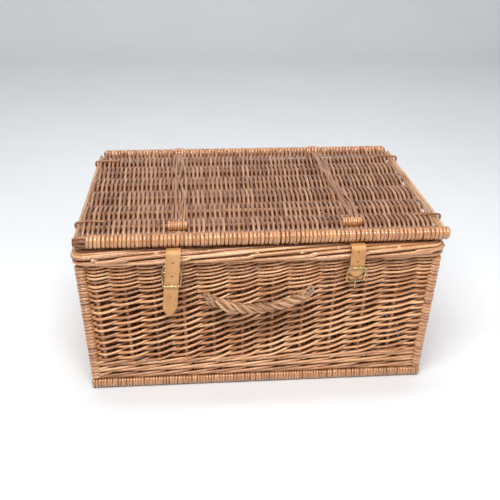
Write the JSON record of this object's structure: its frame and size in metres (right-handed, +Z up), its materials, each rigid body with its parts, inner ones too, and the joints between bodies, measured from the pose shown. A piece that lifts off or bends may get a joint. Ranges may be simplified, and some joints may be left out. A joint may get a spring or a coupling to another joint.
{
  "type": "wicker storage trunk",
  "caption": "Rectangular woven willow trunk with a flat hinged lid, leather straps through brass wire buckles and a twisted willow handle on the front.",
  "frame": {"origin": "middle of the base's underside, on the floor plane", "axes": "+X along the width to the right seen from the front, +Y from front to back, +Z up"},
  "size_m": [0.5911, 0.4197, 0.2923],
  "materials": {
    "willow_weave": "varnished willow weave",
    "willow_stick": "varnished willow rod",
    "willow_pale": "pale willow rod",
    "willow_rope": "weathered twisted willow",
    "strap_leather": "natural tan leather",
    "buckle_brass": "worn brass wire"
  },
  "bodies": {
    "basket": {"base_weave": "willow_weave", "wale_front": "willow_weave", "wale_back": "willow_weave", "wale_left": "willow_weave", "wale_right": "willow_weave", "weave_front": "willow_weave", "weave_back": "willow_weave", "weave_left": "willow_weave", "weave_right": "willow_weave", "border_front": "willow_weave", "border_back": "willow_weave", "border_left": "willow_weave", "border_right": "willow_weave", "base_front_stick": "willow_stick", "base_back_stick": "willow_stick", "base_inner_sticks": "willow_stick", "post_front_left": "willow_stick", "post_front_right": "willow_stick", "post_back_left": "willow_stick", "post_back_right": "willow_stick", "stakes_front": "willow_stick", "stakes_back": "willow_stick", "stakes_left": "willow_stick", "stakes_right": "willow_stick", "hinge_ring_left": "willow_stick", "hinge_ring_right": "willow_stick", "handle_root_left": "willow_rope", "handle_root_right": "willow_rope", "chape_left": "strap_leather", "chape_right": "strap_leather"},
    "lid": {"lid_weave": "willow_weave", "lid_front_stick": "willow_stick", "lid_back_stick": "willow_stick", "lid_inner_sticks": "willow_stick", "lid_edge_left": "willow_pale", "lid_edge_right": "willow_pale", "lid_ties": "willow_stick", "lane_left": "willow_pale", "lane_right": "willow_pale", "lashing_left": "willow_stick", "lashing_right": "willow_stick", "strap_anchor_left": "strap_leather", "strap_anchor_right": "strap_leather"},
    "left_strap": {"strap_left": "strap_leather"},
    "right_strap": {"strap_right": "strap_leather"},
    "left_buckle": {"buckle_left": "buckle_brass"},
    "right_buckle": {"buckle_right": "buckle_brass"},
    "left_prong": {"prong_left": "buckle_brass"},
    "right_prong": {"prong_right": "buckle_brass"},
    "handle_bow": {"handle": "willow_rope"}
  },
  "joints": [
    {"name": "lid_hinge", "type": "hinge", "parent": "basket", "child": "lid", "pos_m": [0.004, 0.186, 0.28], "axis": [-1, 0, 0], "range_deg": [0, 110]},
    {"name": "left_strap_hang", "type": "hinge", "parent": "lid", "child": "left_strap", "pos_m": [-0.135, -0.2036, 0.265], "axis": [-1, 0, 0], "range_deg": [-77.2, 0]},
    {"name": "right_strap_hang", "type": "hinge", "parent": "lid", "child": "right_strap", "pos_m": [0.148, -0.2036, 0.265], "axis": [-1, 0, 0], "range_deg": [-77.2, 0]},
    {"name": "left_buckle_swing", "type": "hinge", "parent": "basket", "child": "left_buckle", "pos_m": [-0.1396, -0.19885, 0.231], "axis": [-1, 0, 0], "range_deg": [0, 70]},
    {"name": "right_buckle_swing", "type": "hinge", "parent": "basket", "child": "right_buckle", "pos_m": [0.148, -0.19885, 0.213], "axis": [1, 0, 0], "range_deg": [0, 80]},
    {"name": "left_prong_swing", "type": "hinge", "parent": "basket", "child": "left_prong", "pos_m": [-0.1396, -0.19885, 0.231], "axis": [-1, 0, 0], "range_deg": [-20, 5]},
    {"name": "right_prong_swing", "type": "hinge", "parent": "basket", "child": "right_prong", "pos_m": [0.148, -0.19885, 0.213], "axis": [-1, 0, 0], "range_deg": [0, 45]},
    {"name": "handle_swing", "type": "hinge", "parent": "basket", "child": "handle_bow", "pos_m": [-0.0045, -0.2065, 0.187], "axis": [-0.999, 0, -0.0436], "range_deg": [0, 100]}
  ],
  "couplings": [
    {"joint": "left_strap_hang", "follows": "lid_hinge", "ratio": -0.7},
    {"joint": "right_strap_hang", "follows": "lid_hinge", "ratio": -0.7}
  ]
}
